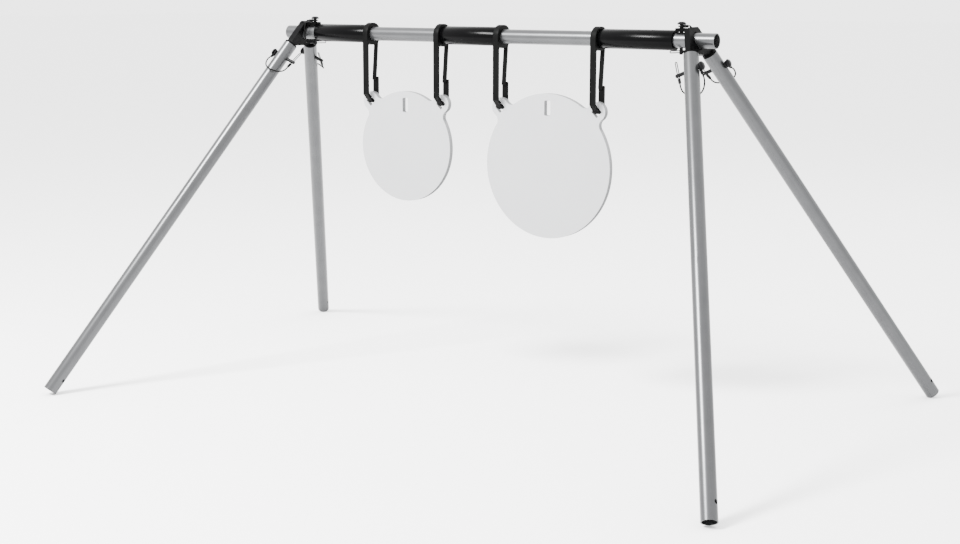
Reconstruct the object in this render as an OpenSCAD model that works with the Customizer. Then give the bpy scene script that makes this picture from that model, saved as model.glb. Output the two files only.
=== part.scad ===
// Portable gong target stand: a round crossbar on four splayed tube legs, with two steel
// gong plates hung from snap-hook strap hangers. X runs along the crossbar, Y is front (-)
// to rear (+), Z is up, and the feet stand on Z = 0.

/* [Tubes] */
// Outside diameter of the crossbar and the legs
tube_od = 25.4; // [25:0.1:26]
// Wall thickness of the crossbar and the legs
tube_wall = 1.5; // [1.2:0.1:2]
// Length of the crossbar
bar_length = 914.4; // [900:0.1:1000]
// Length of each leg tube
leg_length = 790; // [600:10:900]

/* [End brackets] */
// Lean of each bracket and its legs, outward along the crossbar
lean = 22.75; // [15:0.25:28]
// Angle of each leg from the bracket's centre line, in the bracket's own plane
splay = 31.5; // [26:0.5:35]
// Distance from the stand's middle to where each bracket crosses the crossbar's axis
yoke_at = 419; // [410:1:425]
// Turn of the left bracket about its upright pin
left_turn = 6; // [0:1:6]
// Thickness of the bracket plate
yoke_t = 10; // [8:1:12]
// Radius of the eye that the crossbar passes through
eye_r = 14; // [13.8:0.1:15]
// Distance from the stand's middle to each upright pin
pin_at = 393; // [390:1:396]

/* [Pins and lanyards] */
// Diameter of the clevis pins
pin_d = 6.35; // [6:0.05:6.5]
// Diameter of the cross holes that the pins go through
pin_hole_d = 7.1; // [7:0.1:8]
// Length of a pin under its head
pin_length = 49; // [48:1:52]
// Distance of each cross hole from the end of its leg
hole_inset = 28; // [25:1:32]
// Diameter of the coated lanyard cable
cable_d = 2.6; // [2:0.2:2.6]

/* [Hangers] */
// Width of a strap hanger along the crossbar
strap_w = 10.5; // [9:0.5:12]
// Outside radius of a hanger's ring
ring_r = 20.5; // [19:0.5:21]
// Height from the crossbar's axis down to the cradle that carries a plate's ear
hang_drop = 118; // [110:1:130]
// Outside diameter of the plastic sleeves
sleeve_od = 33.4; // [30:0.1:33.4]

/* [Gong plates] */
// Diameter of the left plate
gong_1_d = 203.2; // [180:0.1:210]
// Diameter of the right plate
gong_2_d = 254; // [210:0.1:260]
// Thickness of both plates
gong_t = 9.5; // [8:0.5:9.5]
// Place of the left plate's middle along the crossbar
gong_1_x = -174; // [-176:0.5:-170]
// Place of the right plate's middle along the crossbar
gong_2_x = 137; // [136:0.5:145]

/* [Hidden] */
$fn = 64;

tube_r = tube_od / 2;
bore_r = tube_r - tube_wall;
pin_r = pin_d / 2;

// The bracket. Its legs' axes meet at the apex, above the crossbar in the bracket's plane.
apex_up = 29;
leg_gap = 63;
arm_w = 20;
yoke_top = 22;
web_low = -25;
stub_r = bore_r - 0.2;
stub_in = 55;
tab_over = 14;
tab_t = 6;
tab_w = 20;
tab_end = 384.5;

// The stand's height follows from the legs, which stand on the rims of their cut ends.
leg_reach = leg_gap + leg_length;
foot_drop = apex_up - cos(splay) * leg_reach;
rim_rise = tube_r * sqrt(1 - pow(cos(lean) * cos(splay), 2));
bar_z = rim_rise - foot_drop * cos(lean);

// Where the four feet stand, to set the middle of their box on the origin.
foot_x = yoke_at - foot_drop * sin(lean);
foot_y = sin(splay) * leg_reach;
leg_dir = [sin(lean) * cos(splay), sin(splay)];
function turned(p) = [
    p[0] * cos(left_turn) - p[1] * sin(left_turn),
    p[0] * sin(left_turn) + p[1] * cos(left_turn)
];
function rim_reach(d) = tube_r * sqrt(1 - d * d);
left_feet = [for (s = [-1, 1]) turned([pin_at - foot_x, s * foot_y]) - [pin_at, 0]];
left_dirs = [for (s = [-1, 1]) turned([-leg_dir[0], s * leg_dir[1]])];
x_low = min([for (i = [0, 1]) left_feet[i][0] - rim_reach(left_dirs[i][0])]);
x_high = foot_x + rim_reach(leg_dir[0]);
y_low = min(left_feet[0][1] - rim_reach(left_dirs[0][1]), -foot_y - rim_reach(leg_dir[1]));
y_high = max(left_feet[1][1] + rim_reach(left_dirs[1][1]), foot_y + rim_reach(leg_dir[1]));
stand_shift = [-(x_low + x_high) / 2, -(y_low + y_high) / 2, 0];

// A pin's own frame: Z along the pin with the head up, and the seat under the head at 0.
head_r = 7.5;
eye_t = 5.6;
clip_up = 5;
clip_z = eye_t - pin_length + clip_up;
clip_wire_d = 1.6;
clip_w = 4.8;
clip_out = 22;
clip_in = 5.4;
crimp_r = 2.5;
crimp_l = 8;

// Lanyard routes in a pin's frame, from the crimp at the head to the crimp on the clip.
// On a leg, +X runs down the leg and -Y is the side that the cable goes round.
leg_clip_turn = 165;
leg_route = [
    [11, -7, 2.8], [19, -12, 2.8], [29, -16, -1], [35, -19, -8], [37, -20, -17],
    [36, -18, -25], [33, -14, -32], [27, -9, -37], [20, -5.4, clip_z], [13, -3.5, clip_z]
];
// On the crossbar, +X points outboard and the cable hangs in front of the bar.
bar_clip_turn = 111.8;
bar_route = [
    [5, -12, 2.8], [7, -16.8, 2.8], [9, -20.5, -4], [10, -21, -14],
    [10, -21, -24], [8.5, -20, -33], [7, -17.5, clip_z], [5, -12.5, clip_z]
];
rings_per_span = 2;

// The hanger's side view, in Y and Z. The cradle's centre is hang_drop below the crossbar.
ring_bore_r = tube_r + 0.08;
strap_t = 5;
cradle_in = 5.3;
cradle_out = 9.8;
nose_y = 9.5;
nose_t = 4.7;
nose_up = 38;
fillet_r = 4;

// The gate is moulded with the ring and flexes at its root, inside the ring's wall.
gate_w = 7.5;
gate_t = 3.6;
gate_root = [13.6, -13.6];
gate_root_r = 2.8;
gate_tip = [7.1, -84];

// A plate's ears stand on its diagonals, and their diamond holes take the cradles.
ear_out = 13.5;
ear_r = 17;
neck_r = 12;
diamond = 14.85;
diamond_corner_r = 1;
ear_under = 0.7;
slot_w = 12.7;
slot_h = 26.5;
slot_in = 12;
slot_corner_r = 2.5;
function ear_at(d) = (d / 2 + ear_out) * sin(45);
ear_z = bar_z - hang_drop - ear_under - (diamond / sqrt(2) - strap_w / 2);
side_gap = 0.6;
sleeve_end = 383.5;
hanger_x = [
    gong_1_x - ear_at(gong_1_d), gong_1_x + ear_at(gong_1_d),
    gong_2_x - ear_at(gong_2_d), gong_2_x + ear_at(gong_2_d)
];

steel = [0.66, 0.67, 0.68];
black_coat = [0.07, 0.07, 0.075];
black_plastic = [0.04, 0.04, 0.045];
black_rubber = [0.09, 0.09, 0.09];
plate_grey = [0.84, 0.845, 0.85];

module at_stand() {
    translate(stand_shift) children();
}

// Puts right-hand bracket work on either end; the left end is its mirror image, turned.
module at_end(side) {
    at_stand()
        if (side == "right") {
            children();
        } else {
            translate([-pin_at, 0, 0])
                rotate([0, 0, left_turn])
                    translate([pin_at, 0, 0])
                        mirror([1, 0, 0]) children();
        }
}

// The bracket's plane: X outboard through it, Z up along it, and the crossbar's axis at 0.
module in_yoke(side) {
    at_end(side) translate([yoke_at, 0, bar_z]) rotate([0, -lean, 0]) children();
}

// A leg's frame: the apex at 0, Z up the leg, X outboard. Rear corners mirror front ones.
module in_corner(side, row) {
    in_yoke(side)
        mirror([0, row == "rear" ? 1 : 0, 0])
            translate([0, 0, apex_up]) rotate([-splay, 0, 0]) children();
}

// The two kinds of pin place. A flipped pin has its lanyard on the other side.
module at_leg_pin(side, row, flipped = false) {
    in_corner(side, row)
        translate([tube_r + 0.1, 0, -leg_gap - hole_inset])
            rotate([0, 90, 0]) mirror([0, flipped ? 1 : 0, 0]) children();
}

module at_bar_pin(side, flipped = false) {
    at_end(side)
        translate([pin_at, 0, bar_z + tab_over + tab_t + 0.1])
            mirror([0, flipped ? 1 : 0, 0]) children();
}

module tube(length) {
    difference() {
        cylinder(r = tube_r, h = length);
        translate([0, 0, -1]) cylinder(r = bore_r, h = length + 2);
    }
}

module cross_hole(reach = 40) {
    rotate([0, 90, 0]) cylinder(d = pin_hole_d, h = reach, center = true);
}

module crossbar() {
    color(steel) at_stand() translate([0, 0, bar_z])
        difference() {
            translate([-bar_length / 2, 0, 0]) rotate([0, 90, 0]) tube(bar_length);
            for (s = [-1, 1])
                translate([s * pin_at, 0, 0]) rotate([0, 90, 0]) cross_hole();
        }
}

module sleeve(x_from, x_to) {
    color(black_plastic) at_stand() translate([x_from, 0, bar_z]) rotate([0, 90, 0])
        difference() {
            cylinder(d = sleeve_od, h = x_to - x_from);
            translate([0, 0, -1]) cylinder(r = tube_r + 0.6, h = x_to - x_from + 2);
        }
}

// Half of the bracket's outline, from the top down: rounded corner, arm's edge and end, web.
function yoke_half() =
    let (
        corner_r = 5,
        half_top = (apex_up - yoke_top) * tan(splay) + arm_w / 2 / cos(splay),
        corner = [half_top - corner_r * tan(45 - splay / 2), yoke_top - corner_r],
        along = [sin(splay), -cos(splay)],
        outward = [cos(splay), sin(splay)] * arm_w / 2,
        arm_end = [0, apex_up] + (leg_gap - 3) * along,
        inner = arm_end - outward
    )
    concat(
        [for (k = [0 : 6]) let (a = 90 - (90 - splay) * k / 6) corner + corner_r * [cos(a), sin(a)]],
        [arm_end + outward, inner, inner - along * (web_low - inner[1]) / cos(splay)]
    );

// Bracket plate: two arms along the legs, joined over and under the bar, with an eye for it.
// The eye is bored along the crossbar's own axis.
module yoke(side) {
    half = yoke_half();
    other = [for (k = [len(half) - 1 : -1 : 0]) [-half[k][0], half[k][1]]];
    end = side == "right" ? 1 : -1;
    color(black_coat)
        difference() {
            in_yoke(side) rotate([90, 0, 90]) translate([0, 0, -yoke_t / 2])
                linear_extrude(yoke_t) polygon(concat(half, other));
            at_stand() translate([end * yoke_at, 0, bar_z]) rotate([0, 90, 0])
                cylinder(r = eye_r, h = 80, center = true);
        }
}

// Flat tab over the bar; its outer end is cut to lie on the leaning plate.
module lock_tab(side) {
    function plate_x(up) = yoke_at - up * tan(lean) - yoke_t / 2 / cos(lean);
    tab_top = tab_over + tab_t;
    corner_r = 4;
    color(black_coat) at_end(side) translate([0, 0, bar_z])
        difference() {
            intersection() {
                rotate([90, 0, 0]) translate([0, 0, -tab_w / 2])
                    linear_extrude(tab_w)
                        polygon([
                            [tab_end, tab_over], [plate_x(tab_over), tab_over],
                            [plate_x(tab_top), tab_top], [tab_end, tab_top]
                        ]);
                union() {
                    translate([tab_end + corner_r, -tab_w / 2, 0]) cube([40, tab_w, 40]);
                    translate([tab_end, -tab_w / 2 + corner_r, 0])
                        cube([40, tab_w - corner_r * 2, 40]);
                    for (s = [-1, 1])
                        translate([tab_end + corner_r, s * (tab_w / 2 - corner_r), 0])
                            cylinder(r = corner_r, h = 40);
                }
            }
            translate([pin_at, 0, 0]) cylinder(d = pin_hole_d, h = 60);
        }
}

// Round stub that a leg slides onto, with the shoulder that the tube stops at.
module stub(side, row) {
    shoulder_l = 2.8;
    chamfer = 1.5;
    color(black_coat) in_corner(side, row)
        difference() {
            rotate([180, 0, 0]) rotate_extrude()
                polygon([
                    [0, leg_gap - 3], [tube_r - 0.4, leg_gap - 3],
                    [tube_r - 0.4, leg_gap - 3 + shoulder_l], [stub_r, leg_gap - 3 + shoulder_l],
                    [stub_r, leg_gap + stub_in - chamfer], [stub_r - chamfer, leg_gap + stub_in],
                    [0, leg_gap + stub_in]
                ]);
            translate([0, 0, -leg_gap - hole_inset]) cross_hole();
        }
}

module leg(side, row) {
    color(steel) in_corner(side, row)
        difference() {
            translate([0, 0, -leg_reach]) tube(leg_length);
            translate([0, 0, -leg_gap - hole_inset]) cross_hole();
            translate([0, 0, -leg_reach + hole_inset]) cross_hole();
        }
}

// Clevis pin: domed head, chamfered tip and a small cross hole for the clip.
module pin_body(clip_turn) {
    tip = eye_t - pin_length;
    color(black_coat)
        difference() {
            rotate_extrude()
                polygon([
                    [0, tip], [pin_r - 1, tip], [pin_r, tip + 1], [pin_r, eye_t],
                    [head_r - 0.6, eye_t], [head_r, eye_t + 0.6], [head_r, eye_t + 1.8],
                    [head_r - 1.6, eye_t + 3.6], [head_r - 3.4, eye_t + 4.6], [0, eye_t + 5]
                ]);
            translate([0, 0, clip_z]) rotate([0, 0, clip_turn]) rotate([0, 90, 0])
                rotate([0, 0, 90]) clip_slot();
        }
}

// The clip's hole is a short slot across the pin, so that the doubled wire goes through.
module clip_slot() {
    for (s = [-1, 1])
        translate([0, s * (clip_w - clip_wire_d) / 2, 0])
            cylinder(d = clip_wire_d + 0.6, h = 12, center = true);
    cube([clip_wire_d + 0.6, clip_w - clip_wire_d, 12], center = true);
}

// Hairpin of spring wire through the pin: a long round-ended loop, doubled side by side.
module clip_body(clip_turn) {
    wire_r = clip_wire_d / 2;
    row_y = (clip_w - clip_wire_d) / 2;
    color(black_coat)
        translate([0, 0, clip_z]) rotate([0, 0, clip_turn]) rotate([90, 0, 0]) {
            for (s = [-1, 1])
                translate([-clip_in, s * row_y, 0]) rotate([0, 90, 0])
                    cylinder(r = wire_r, h = clip_in + clip_out);
            translate([clip_out, 0, 0]) rotate([0, 0, -90])
                rotate_extrude(angle = 180) translate([row_y, 0]) circle(r = wire_r);
        }
}

// A straight crimped ferrule that ends at the route's point p, in line with its next point q.
module crimp(p, q) {
    d = q - p;
    yaw = atan2(d[1], d[0]);
    pitch = atan2(norm([d[0], d[1]]), d[2]);
    translate(p) rotate([0, pitch, yaw]) translate([0, 0, -crimp_l])
        cylinder(r = crimp_r, h = crimp_l);
}

// Both fittings on a lanyard: the eye round the pin's neck with its crimp, and the
// crimp that grips the clip's two wire ends.
module crimps_body(route, clip_turn) {
    last = len(route) - 1;
    eye_ring_r = pin_r + 0.3 + cable_d / 2;
    color(black_coat) {
        translate([0, 0, eye_t / 2])
            rotate_extrude() translate([eye_ring_r, 0]) circle(d = cable_d);
        crimp(route[0], route[1]);
        crimp(route[last], route[last - 1]);
    }
}

// Points along a route, on a smooth curve through its own points.
function spline_point(a, b, c, d, t) =
    0.5 * ((2 * b) + (c - a) * t + (2 * a - 5 * b + 4 * c - d) * t * t
        + (3 * b - a - 3 * c + d) * t * t * t);
function smooth(route) = let (n = len(route) - 1) concat(
    [for (i = [0 : n - 1], k = [0 : rings_per_span - 1])
        spline_point(
            i == 0 ? 2 * route[0] - route[1] : route[i - 1], route[i], route[i + 1],
            i == n - 1 ? 2 * route[n] - route[n - 1] : route[i + 2], k / rings_per_span)],
    [route[n]]
);
function unit(v) = v / norm(v);
// Each end of a cable is square to its crimp, and the rings between lie across the curve.
function tangent(route, path, i) =
    let (last = len(route) - 1)
    i == 0 ? unit(route[1] - route[0])
    : i == len(path) - 1 ? unit(route[last] - route[last - 1])
    : unit(path[i + 1] - path[i - 1]);

// A cable swept along a path as one solid, with rings of eight points.
module cable(route) {
    path = smooth(route);
    sides = 8;
    rings = len(path);
    up = [0.1, 0.2, 1];
    points = [
        for (i = [0 : rings - 1])
            let (t = tangent(route, path, i), u = unit(cross(t, cross(up, t))), v = cross(t, u))
                for (k = [0 : sides - 1])
                    path[i] + cable_d / 2 * (cos(k * 360 / sides) * u + sin(k * 360 / sides) * v)
    ];
    walls = [
        for (i = [0 : rings - 2], k = [0 : sides - 1])
            let (j = (k + 1) % sides, a = i * sides, b = a + sides)
                for (f = [[a + k, b + k, b + j], [a + k, b + j, a + j]]) f
    ];
    start_cap = [[for (k = [0 : sides - 1]) k]];
    end_cap = [[for (k = [sides - 1 : -1 : 0]) (rings - 1) * sides + k]];
    color(black_rubber) polyhedron(points, concat(walls, start_cap, end_cap), convexity = 4);
}

// Turns a side view in Y and Z into a solid of the given width, centred on X = 0.
module across(width) {
    rotate([90, 0, 90]) translate([0, 0, -width / 2]) linear_extrude(width) children();
}

// Ring round the crossbar and the front arm, with a small fillet where they part.
module hanger_ring() {
    arm_in = ring_r - strap_t;
    fillet_at = [-arm_in + fillet_r, -sqrt(pow(ring_r + fillet_r, 2) - pow(arm_in - fillet_r, 2))];
    across(strap_w) circle(r = ring_r);
    difference() {
        across(strap_w)
            polygon([
                [-arm_in - 1, -8], [-arm_in - 1, fillet_at[1]], fillet_at,
                fillet_at * ring_r / (ring_r + fillet_r), [0, -14]
            ]);
        translate([0, fillet_at[0], fillet_at[1]])
            rotate([0, 90, 0]) cylinder(r = fillet_r, h = strap_w + 2, center = true);
    }
}

// The hook, from the bar's axis down: front arm, cradle and upright nose.
module hanger_hook() {
    arm_in = ring_r - strap_t;
    in45 = cradle_in * sin(45);
    out45 = cradle_out * sin(45);
    nose_out = nose_y + nose_t;
    nose_top = nose_up - nose_t / 2;
    translate([0, 0, -hang_drop])
        difference() {
            union() {
                across(strap_w) circle(r = cradle_out);
                across(strap_w)
                    polygon([
                        [0, 0], [-out45, -out45], [-ring_r, ring_r - 2 * out45],
                        [-ring_r, hang_drop], [0, hang_drop]
                    ]);
                across(strap_w)
                    polygon([
                        [0, 0], [out45, -out45], [nose_out, nose_out - 2 * out45],
                        [nose_out, nose_top], [0, nose_top]
                    ]);
                translate([0, nose_y + nose_t / 2, nose_top]) across(strap_w) circle(d = nose_t);
            }
            across(strap_w + 2) circle(r = cradle_in);
            across(strap_w + 2)
                polygon([
                    [-in45, -in45], [in45, -in45], [nose_y, nose_y - 2 * in45],
                    [nose_y, hang_drop + 1], [-arm_in, hang_drop + 1], [-arm_in, arm_in - 2 * in45]
                ]);
        }
}

module hanger(i) {
    pocket_r = gate_root_r + 0.3;
    color(black_rubber) at_stand() translate([hanger_x[i], 0, bar_z])
        difference() {
            union() {
                hanger_ring();
                hanger_hook();
            }
            rotate([0, 90, 0]) cylinder(r = ring_bore_r, h = strap_w + 2, center = true);
            across(gate_w + 0.8) translate(gate_root) circle(r = pocket_r);
            across(gate_w + 0.8)
                polygon([
                    gate_root + [pocket_r, 1], gate_root + [pocket_r, -12],
                    gate_root + [-8, -12], gate_root + [-pocket_r, 0]
                ]);
        }
}

// The springy tail that closes the hook: round root in the ring, tip inside the nose.
module hanger_gate(i) {
    run = gate_tip - gate_root;
    side = [-run[1], run[0]] / norm(run) * gate_t / 2;
    color(black_rubber) at_stand() translate([hanger_x[i], 0, bar_z]) {
        across(gate_w) translate(gate_root) circle(r = gate_root_r);
        across(gate_w)
            polygon([gate_root + side, gate_root - side, gate_tip - side, gate_tip + side]);
        across(gate_w) translate(gate_tip) circle(d = gate_t);
    }
}

module rounded_rect(w, h, r) {
    polygon([
        for (q = [0 : 3], k = [0 : 4])
            let (a = q * 90 + k * 22.5, sx = q == 0 || q == 3 ? 1 : -1, sy = q < 2 ? 1 : -1)
                [sx * (w / 2 - r) + r * cos(a), sy * (h / 2 - r) + r * sin(a)]
    ]);
}

// One side of an ear's neck: a hollow curve from the disc to the ear, its ends set inside both.
function neck(d) =
    let (
        out = d / 2 + ear_out,
        far = d / 2 + neck_r,
        reach = ear_r + neck_r,
        turn = acos((far * far + out * out - reach * reach) / (2 * far * out)),
        centre = far * [cos(turn), sin(turn)],
        from = 180 + turn,
        to = 360 + atan2(-centre[1], out - centre[0]),
        steps = 9
    )
    [for (k = [0 : steps]) let (a = from + (to - from) * k / steps)
        centre + (neck_r + (k == 0 || k == steps ? 0.5 : 0)) * [cos(a), sin(a)]];

// An ear on the disc's X axis.
module ear(d) {
    out = d / 2 + ear_out;
    side = neck(d);
    last = len(side) - 1;
    translate([out, 0, 0]) cylinder(r = ear_r, h = gong_t);
    linear_extrude(gong_t)
        polygon(concat(
            [[d / 4, 0]], [for (p = side) [p[0], -p[1]]],
            [[out, 0]], [for (k = [last : -1 : 0]) side[k]]
        ));
}

module gong(x, d) {
    color(plate_grey) at_stand() translate([x, gong_t / 2, ear_z - ear_at(d)])
        rotate([90, 0, 0])
            difference() {
                union() {
                    cylinder(d = d, h = gong_t, $fn = 128);
                    for (a = [45, 135]) rotate([0, 0, a]) ear(d);
                }
                for (a = [45, 135])
                    rotate([0, 0, a]) translate([d / 2 + ear_out, 0, -1])
                        linear_extrude(gong_t + 2)
                            rounded_rect(diamond, diamond, diamond_corner_r);
                translate([0, d / 2 - slot_in - slot_h / 2, -1])
                    linear_extrude(gong_t + 2) rounded_rect(slot_w, slot_h, slot_corner_r);
            }
}

hanger_half = strap_w / 2 + side_gap;

crossbar();
sleeve(-sleeve_end, hanger_x[0] - hanger_half);  // left_sleeve
sleeve(hanger_x[1] + hanger_half, hanger_x[2] - hanger_half);  // middle_sleeve
sleeve(hanger_x[3] + hanger_half, sleeve_end);  // right_sleeve
yoke("left");  // left_yoke
yoke("right");  // right_yoke
lock_tab("left");  // left_lock_tab
lock_tab("right");  // right_lock_tab
stub("left", "front");  // left_front_stub
stub("left", "rear");  // left_rear_stub
stub("right", "front");  // right_front_stub
stub("right", "rear");  // right_rear_stub
leg("left", "front");  // left_front_leg
leg("left", "rear");  // left_rear_leg
leg("right", "front");  // right_front_leg
leg("right", "rear");  // right_rear_leg
at_leg_pin("left", "front") pin_body(leg_clip_turn);  // left_front_pin
at_leg_pin("left", "rear") pin_body(leg_clip_turn);  // left_rear_pin
at_leg_pin("right", "front", true) pin_body(leg_clip_turn);  // right_front_pin
at_leg_pin("right", "rear") pin_body(leg_clip_turn);  // right_rear_pin
at_bar_pin("left") pin_body(bar_clip_turn);  // left_bar_pin
at_bar_pin("right", true) pin_body(bar_clip_turn);  // right_bar_pin
at_leg_pin("left", "front") clip_body(leg_clip_turn);  // left_front_clip
at_leg_pin("left", "rear") clip_body(leg_clip_turn);  // left_rear_clip
at_leg_pin("right", "front", true) clip_body(leg_clip_turn);  // right_front_clip
at_leg_pin("right", "rear") clip_body(leg_clip_turn);  // right_rear_clip
at_bar_pin("left") clip_body(bar_clip_turn);  // left_bar_clip
at_bar_pin("right", true) clip_body(bar_clip_turn);  // right_bar_clip
at_leg_pin("left", "front") crimps_body(leg_route, leg_clip_turn);  // left_front_crimps
at_leg_pin("left", "rear") crimps_body(leg_route, leg_clip_turn);  // left_rear_crimps
at_leg_pin("right", "front", true) crimps_body(leg_route, leg_clip_turn);  // right_front_crimps
at_leg_pin("right", "rear") crimps_body(leg_route, leg_clip_turn);  // right_rear_crimps
at_bar_pin("left") crimps_body(bar_route, bar_clip_turn);  // left_bar_crimps
at_bar_pin("right", true) crimps_body(bar_route, bar_clip_turn);  // right_bar_crimps
at_leg_pin("left", "front") cable(leg_route);  // left_front_lanyard
at_leg_pin("left", "rear") cable(leg_route);  // left_rear_lanyard
at_leg_pin("right", "front", true) cable(leg_route);  // right_front_lanyard
at_leg_pin("right", "rear") cable(leg_route);  // right_rear_lanyard
at_bar_pin("left") cable(bar_route);  // left_bar_lanyard
at_bar_pin("right", true) cable(bar_route);  // right_bar_lanyard
hanger(0);  // hanger_1
hanger(1);  // hanger_2
hanger(2);  // hanger_3
hanger(3);  // hanger_4
hanger_gate(0);  // hanger_1_gate
hanger_gate(1);  // hanger_2_gate
hanger_gate(2);  // hanger_3_gate
hanger_gate(3);  // hanger_4_gate
gong(gong_1_x, gong_1_d);  // left_gong
gong(gong_2_x, gong_2_d);  // right_gong
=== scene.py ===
# Gong target stand: a steel crossbar on four tube legs, with two steel plates hung from it.
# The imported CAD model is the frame. Its pieces keep their shape here and get their looks.
import math

import bpy
from mathutils import Matrix, Vector


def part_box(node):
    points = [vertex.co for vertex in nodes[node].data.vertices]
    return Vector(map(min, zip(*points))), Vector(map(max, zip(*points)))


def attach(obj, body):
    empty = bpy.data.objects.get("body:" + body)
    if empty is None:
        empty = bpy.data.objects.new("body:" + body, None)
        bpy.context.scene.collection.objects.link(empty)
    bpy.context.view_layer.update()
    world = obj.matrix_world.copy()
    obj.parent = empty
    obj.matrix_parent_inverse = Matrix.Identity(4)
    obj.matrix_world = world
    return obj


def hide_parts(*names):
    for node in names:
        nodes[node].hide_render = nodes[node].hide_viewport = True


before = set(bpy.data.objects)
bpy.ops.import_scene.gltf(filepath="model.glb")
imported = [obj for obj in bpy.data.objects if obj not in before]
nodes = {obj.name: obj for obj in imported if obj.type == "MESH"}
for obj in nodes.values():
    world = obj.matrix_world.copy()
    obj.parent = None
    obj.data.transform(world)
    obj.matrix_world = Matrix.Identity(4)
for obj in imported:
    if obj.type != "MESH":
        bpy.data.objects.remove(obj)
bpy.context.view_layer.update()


# ---- Camera: standing height, off the stand's right front corner ----
camera_data = bpy.data.cameras.new("camera")
camera_data.sensor_width = 36
camera_data.lens = 60.95
camera_data.shift_x = 0.0165
camera_data.shift_y = 0.0068
camera = bpy.data.objects.new("camera", camera_data)
camera.location = (1.6819, -2.3884, 0.7411)
camera.rotation_euler = (math.radians(79.765), 0, math.radians(35.335))
bpy.context.scene.collection.objects.link(camera)
bpy.context.scene.camera = camera


# ---- Lanyards ----
# Six short black plastic-coated cables, one to each pin. Each is crimped round the pin's
# neck at one end and to its wire clip at the other, and hangs in an open loop beside it.
LEAN, SPLAY, LEFT_TURN = math.radians(22.75), math.radians(31.5), math.radians(6)
YOKE_AT, PIN_AT, APEX_UP, LEG_GAP = 0.419, 0.393, 0.029, 0.063
TUBE_R, HOLE_INSET = 0.0127, 0.028
# A pin's seat, from the axis of its leg, and from the crossbar's axis on top of the lock tab.
LEG_SEAT = TUBE_R + 0.0001
BAR_SEAT = 0.0201
CABLE_R = 0.0013
STEPS_PER_SPAN = 3
# Routes in millimetres, in a pin's own frame: Z along the pin, with 0 at its seat.
LEG_ROUTE = [
    (11, -7, 2.8), (19, -12, 2.8), (29, -16, -1), (35, -19, -8), (37, -20, -17),
    (36, -18, -25), (33, -14, -32), (27, -9, -37), (20, -5.4, -38.4), (13, -3.5, -38.4),
]
BAR_ROUTE = [
    (5, -12, 2.8), (7, -16.8, 2.8), (9, -20.5, -4), (10, -21, -14),
    (10, -21, -24), (8.5, -20, -33), (7, -17.5, -38.4), (5, -12.5, -38.4),
]


def shift(x, y, z):
    return Matrix.Translation((x, y, z))


def turn(angle, axis):
    return Matrix.Rotation(angle, 4, axis)


def mirror(x, y):
    return Matrix.Diagonal((x, y, 1, 1))


# The bar's axis, from the crossbar's own box in the frame.
bar_low, bar_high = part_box("crossbar")
BAR_AT = (bar_low + bar_high) / 2


def end_place(side):
    """Right-hand bracket work as it is; the left end is its mirror image, turned about its pin."""
    stand = shift(BAR_AT.x, BAR_AT.y, 0)
    if side == "right":
        return stand
    return stand @ shift(-PIN_AT, 0, 0) @ turn(LEFT_TURN, "Z") @ shift(PIN_AT, 0, 0) @ mirror(-1, 1)


def corner_place(side, row):
    """A leg's frame, with Z up the leg."""
    return (
        end_place(side) @ shift(YOKE_AT, 0, BAR_AT.z) @ turn(-LEAN, "Y")
        @ mirror(1, -1 if row == "rear" else 1) @ shift(0, 0, APEX_UP) @ turn(-SPLAY, "X")
    )


def pin_place(side, row):
    """A pin's frame. The right front and right top pins have their lanyard on the other side."""
    flipped = mirror(1, -1 if side == "right" and row in ("front", "bar") else 1)
    if row == "bar":
        return end_place(side) @ shift(PIN_AT, 0, BAR_AT.z + BAR_SEAT) @ flipped
    place = corner_place(side, row) @ shift(LEG_SEAT, 0, -LEG_GAP - HOLE_INSET)
    return place @ turn(math.pi / 2, "Y") @ flipped


def smooth_route(route, per_span):
    """Points on a smooth curve that goes through all the route's own points."""
    ends = [2 * route[0] - route[1]] + route + [2 * route[-1] - route[-2]]
    out = []
    for a, b, c, d in zip(ends, ends[1:], ends[2:], ends[3:]):
        for k in range(per_span):
            t = k / per_span
            out.append(0.5 * (2 * b + (c - a) * t + (2 * a - 5 * b + 4 * c - d) * t * t
                              + (3 * b - a - 3 * c + d) * t * t * t))
    return out + [route[-1]]


lanyards = []
for side in ("left", "right"):
    for row in ("front", "rear", "bar"):
        name = f"{side}_{row}"
        place = pin_place(side, row)
        route = [place @ (Vector(p) / 1000) for p in (BAR_ROUTE if row == "bar" else LEG_ROUTE)]
        path = smooth_route(route, STEPS_PER_SPAN)
        curve = bpy.data.curves.new(f"{name}_cable", "CURVE")
        curve.dimensions = "3D"
        # The points' radius sets the thickness, so the curve's own box fits the cable.
        curve.bevel_depth = 1
        curve.bevel_resolution = 4
        curve.use_fill_caps = True
        spline = curve.splines.new("POLY")
        spline.points.add(len(path) - 1)
        for point, at in zip(spline.points, path):
            point.co = (*at, 1)
            point.radius = CABLE_R
        spline.use_smooth = True
        cable = bpy.data.objects.new(f"{name}_cable", curve)
        bpy.context.scene.collection.objects.link(cable)
        length = sum((b - a).length for a, b in zip(path, path[1:]))
        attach(cable, f"{name}_pin_set")
        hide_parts(f"{name}_lanyard")
        lanyards.append(cable)


# ---- Shader maths ----
class Value:
    """A shader socket with plain arithmetic."""

    def __init__(self, tree, socket):
        self.tree, self.socket = tree, socket

    def maths(self, operation, a, b):
        node = self.tree.nodes.new("ShaderNodeMath")
        node.operation = operation
        for slot, value in zip(node.inputs, (a, b)):
            join(self.tree, value, slot)
        return Value(self.tree, node.outputs[0])

    def __add__(self, other):
        return self.maths("ADD", self, other)

    def __sub__(self, other):
        return self.maths("SUBTRACT", self, other)

    def __mul__(self, other):
        return self.maths("MULTIPLY", self, other)

    def __rsub__(self, other):
        return self.maths("SUBTRACT", other, self)

    __radd__, __rmul__ = __add__, __mul__


def join(tree, value, socket):
    if isinstance(value, Value):
        tree.links.new(value.socket, socket)
    else:
        socket.default_value = value


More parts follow.
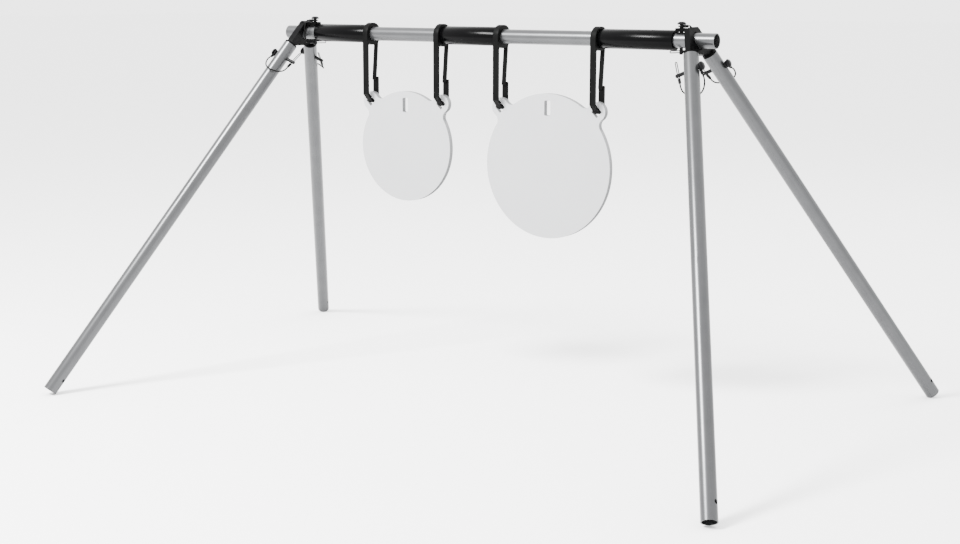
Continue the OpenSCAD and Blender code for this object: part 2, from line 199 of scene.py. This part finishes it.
class Surface:
    """A material with one Principled shader, and nodes made by type."""

    def __init__(self, name, **constants):
        self.material = bpy.data.materials.new(name)
        self.material.use_nodes = True
        self.tree = self.material.node_tree
        self.shader = self.tree.nodes["Principled BSDF"]
        for key, value in constants.items():
            self.set(key.replace("_", " ").title().replace("Ior", "IOR"), value)

    def set(self, socket, value):
        join(self.tree, value, self.shader.inputs[socket])

    def node(self, kind, settings=(), out=0, **sockets):
        node = self.tree.nodes.new("ShaderNode" + kind)
        for key, value in dict(settings).items():
            setattr(node, key, value)
        for key, value in sockets.items():
            join(self.tree, value, node.inputs[key.replace("_", " ")])
        return Value(self.tree, node.outputs[out])

    def place(self, **mapping):
        """The piece's own coordinates in metres, moved or stretched."""
        own = self.node("TexCoord", out=3)
        return self.node("Mapping", Vector=own, **mapping) if mapping else own

    def noise(self, at, scale, detail=3.0, rough=0.55):
        return self.node("TexNoise", Vector=at, Scale=scale, Detail=detail, Roughness=rough)

    def ramp(self, value, low, high, to_low=0.0, to_high=1.0):
        return self.node("MapRange", Value=value, **{
            "From_Min": low, "From_Max": high, "To_Min": to_low, "To_Max": to_high})

    def mix(self, factor, a, b):
        node = self.tree.nodes.new("ShaderNodeMix")
        node.data_type = "RGBA"
        join(self.tree, factor, node.inputs[0])
        join(self.tree, a, node.inputs[6])
        join(self.tree, b, node.inputs[7])
        return Value(self.tree, node.outputs[2])

    def bump(self, height, strength, distance):
        self.set("Normal", self.node("Bump", Height=height, Strength=strength, Distance=distance))


def dress(surface, names):
    for name in names:
        piece = nodes[name] if isinstance(name, str) else name
        piece.data.materials.clear()
        piece.data.materials.append(surface.material)


def ease_edges(names, width, segments=2):
    """Small rounded edges on CAD pieces, as modifiers that leave their own mesh alone."""
    for name in names:
        weld = nodes[name].modifiers.new("weld", "WELD")
        weld.merge_threshold = 0.00001
        bevel = nodes[name].modifiers.new("edge", "BEVEL")
        bevel.width = width
        bevel.segments = segments
        bevel.limit_method = "ANGLE"
        bevel.angle_limit = math.radians(35)
        bevel.harden_normals = True


# ---- Cable covers ----
# Each cable is thin wire rope under a drawn cover of black plastic, satin and slightly uneven.
cable_cover = Surface("cable_cover", roughness=0.42, specular_ior_level=0.05)
at = cable_cover.place()
cloud = cable_cover.noise(at, 900.0)
shade = cable_cover.mix(cloud, (0.0010, 0.0010, 0.0010, 1), (0.0030, 0.0030, 0.0030, 1))
cable_cover.set("Base Color", shade)
cable_cover.bump(cloud, 0.25, 0.0002)
dress(cable_cover, lanyards)


# ---- Pins, crimps and clips ----
# Turned clevis pins, pressed ferrules and spring wire hairpins, all steel with a thin black
# plating. A pin drops through its holes, and the hairpin through its tip keeps it there.
plated = Surface("black_plate", metallic=0.2, specular_ior_level=0.06)
at = plated.place()
grain = plated.noise(at, 1400.0)
patch = plated.noise(at, 160.0)
plated.set("Base Color", plated.mix(patch, (0.003, 0.003, 0.0033, 1), (0.007, 0.007, 0.0075, 1)))
plated.set("Roughness", plated.ramp(patch, 0.3, 0.7, 0.26, 0.42))
plated.bump(grain, 0.15, 0.0001)
PIN_NAMES = [f"{s}_{r}" for s in ("left", "right") for r in ("front", "rear", "bar")]
dress(plated, [f"{p}_{k}" for p in PIN_NAMES for k in ("pin", "clip", "crimps")])


# ---- Legs and crossbar ----
# Drawn and plated steel tube, sawn square and left open. The skin is satin with faint lines
# along the tube and slight clouding.
def tube_surface(name, axis, rough):
    tube = Surface(name, metallic=0.8, anisotropic=0.25)
    to_z = Vector(axis).normalized().rotation_difference(Vector((0, 0, 1))).to_euler()
    along = tube.place(Rotation=tuple(to_z))
    lines = tube.noise(tube.node("Mapping", Vector=along, Scale=(1500.0, 1500.0, 14.0)), 1.0, 4.0)
    bands = tube.noise(tube.node("Mapping", Vector=along, Scale=(60.0, 60.0, 5.0)), 1.0, 2.0)
    cloud = tube.noise(along, 35.0, 4.0)
    shade = tube.mix(cloud, (0.054, 0.055, 0.057, 1), (0.078, 0.079, 0.081, 1))
    shade = tube.mix(tube.ramp(lines, 0.35, 0.65, 0.0, 0.35), shade, (0.040, 0.041, 0.043, 1))
    tube.set("Base Color", shade)
    tube.set("Roughness", tube.ramp(bands * 0.6 + lines * 0.4, 0.3, 0.7, rough, rough + 0.1))
    tube.bump(lines, 0.12, 0.00008)
    return tube


dress(tube_surface("bar_steel", (1, 0, 0), 0.28), ["crossbar"])
for side in ("left", "right"):
    for row in ("front", "rear"):
        axis = corner_place(side, row).to_3x3() @ Vector((0, 0, 1))
        dress(tube_surface(f"{side}_{row}_steel", axis, 0.24), [f"{side}_{row}_leg"])


# ---- Brackets ----
# Thick steel plate with an eye for the crossbar, a flat lock tab and two round stubs welded
# on. All of it is under one black satin coat with a slight orange peel.
coat = Surface("bracket_coat", specular_ior_level=0.02)
at = coat.place()
peel = coat.noise(at, 650.0, 2.0)
patch = coat.noise(at, 70.0, 3.0)
coat.set("Base Color", coat.mix(patch, (0.0005, 0.0005, 0.0006, 1), (0.0016, 0.0016, 0.0017, 1)))
coat.set("Roughness", coat.ramp(patch, 0.3, 0.7, 0.42, 0.55))
coat.bump(peel, 0.15, 0.00025)
BRACKET = ["left_yoke", "right_yoke", "left_lock_tab", "right_lock_tab"]
STUBS = [f"{s}_{r}_stub" for s in ("left", "right") for r in ("front", "rear")]
dress(coat, BRACKET + STUBS)
ease_edges(BRACKET, 0.0008)


# ---- Sleeves ----
# Glossy black plastic pipe, cut square and slid loosely over the crossbar to space the
# hangers. It has faint drawn lines along it and light scuffs.
pipe = Surface("sleeve_plastic", specular_ior_level=0.035)
at = pipe.place(Scale=(25.0, 900.0, 900.0))
lines = pipe.noise(at, 1.0, 3.0)
scuff = pipe.noise(pipe.place(), 45.0, 5.0, 0.7)
worn = pipe.ramp(scuff, 0.55, 0.8)
shade = pipe.mix(worn, (0.0008, 0.0008, 0.0009, 1), (0.0024, 0.0024, 0.0025, 1))
pipe.set("Base Color", shade)
pipe.set("Roughness", pipe.ramp(scuff, 0.35, 0.75, 0.17, 0.27))
pipe.bump(lines, 0.05, 0.0001)
SLEEVES = ["left_sleeve", "middle_sleeve", "right_sleeve"]
dress(pipe, SLEEVES)
ease_edges(SLEEVES, 0.0005)


# ---- Hangers and their gates ----
# Hooks moulded in black rubber with their springy gates, matt and slightly uneven. The
# crossbar runs through the ring, and a plate's ear hangs in the cradle.
rubber = Surface("hanger_rubber", specular_ior_level=0.03)
at = rubber.place()
grain = rubber.noise(at, 1100.0, 3.0)
patch = rubber.noise(at, 60.0, 4.0)
rubber.set("Base Color", rubber.mix(patch, (0.0010, 0.0010, 0.0010, 1), (0.0028, 0.0028, 0.0028, 1)))
rubber.set("Roughness", rubber.ramp(patch, 0.3, 0.7, 0.40, 0.56))
rubber.bump(grain * 0.6 + patch * 0.4, 0.3, 0.0003)
HANGERS = [f"hanger_{i}" for i in (1, 2, 3, 4)]
GATES = [f"hanger_{i}_gate" for i in (1, 2, 3, 4)]
dress(rubber, HANGERS + GATES)
ease_edges(HANGERS, 0.0008, 3)
ease_edges(GATES, 0.0007, 3)


# ---- Gong plates ----
# Flat steel plate cut to shape and painted pale grey. The face is even and matt with a very
# fine spray texture. The cut wall is coloured a darker grey as painted shade, with fine lines across
# its thickness.
paint = Surface("gong_paint", specular_ior_level=0.35)
at = paint.place()
spray = paint.noise(at, 1300.0, 2.0)
cloud = paint.noise(at, 14.0, 4.0)
normal = paint.node("NewGeometry", out=3)
split = paint.node("SeparateXYZ", Vector=normal, out=1)
wall = paint.ramp(split * split, 0.5, 0.2)
cuts = paint.noise(paint.node("Mapping", Vector=at, Scale=(900.0, 30.0, 900.0)), 1.0, 3.0)
face = paint.mix(cloud, (0.315, 0.318, 0.324, 1), (0.345, 0.348, 0.354, 1))
# The cut wall's darker grey is painted shade, chosen by the surface direction; the lines in it are
# the wall's own fine marks.
edge = paint.mix(cuts, (0.12, 0.122, 0.125, 1), (0.17, 0.172, 0.176, 1))
paint.set("Base Color", paint.mix(wall, face, edge))
paint.set("Roughness", paint.ramp(cloud, 0.3, 0.7, 0.50, 0.62))
paint.bump(spray * (1 - wall) * 0.3 + cuts * wall, 0.25, 0.0002)
GONGS = ["left_gong", "right_gong"]
dress(paint, GONGS)
ease_edges(GONGS, 0.0006)


# ---- Floor and soft studio light ----
# A plain pale floor under an even white sky, a soft box to the left of the camera for the
# long highlights on the tubes, and a weaker one behind.
FLOOR_HALF = 30
corners = [(x * FLOOR_HALF, y * FLOOR_HALF, 0) for x, y in ((-1, -1), (1, -1), (1, 1), (-1, 1))]
floor_mesh = bpy.data.meshes.new("floor")
floor_mesh.from_pydata(corners, [], [(0, 1, 2, 3)])
floor = bpy.data.objects.new("floor", floor_mesh)
bpy.context.scene.collection.objects.link(floor)
pale = Surface("floor", base_color=(0.97, 0.97, 0.97, 1), roughness=0.95)
floor.data.materials.append(pale.material)

world = bpy.data.worlds.new("studio")
world.use_nodes = True
sky = world.node_tree.nodes["Background"]
sky.inputs["Color"].default_value = (1, 1, 1, 1)
sky.inputs["Strength"].default_value = 3.6
bpy.context.scene.world = world


def soft_box(name, at, aim, size, watts):
    light = bpy.data.lights.new(name, "AREA")
    light.shape = "RECTANGLE"
    light.size, light.size_y = size
    light.energy = watts
    lamp = bpy.data.objects.new(name, light)
    lamp.location = at
    lamp.rotation_euler = (Vector(aim) - Vector(at)).to_track_quat("-Z", "Y").to_euler()
    bpy.context.scene.collection.objects.link(lamp)


soft_box("key", (-0.95, -2.2, 2.7), (0, 0, 0.4), (0.8, 0.8), 430)
soft_box("back", (0.6, 2.8, 2.6), (0, 0, 0.4), (2.4, 1.0), 60)
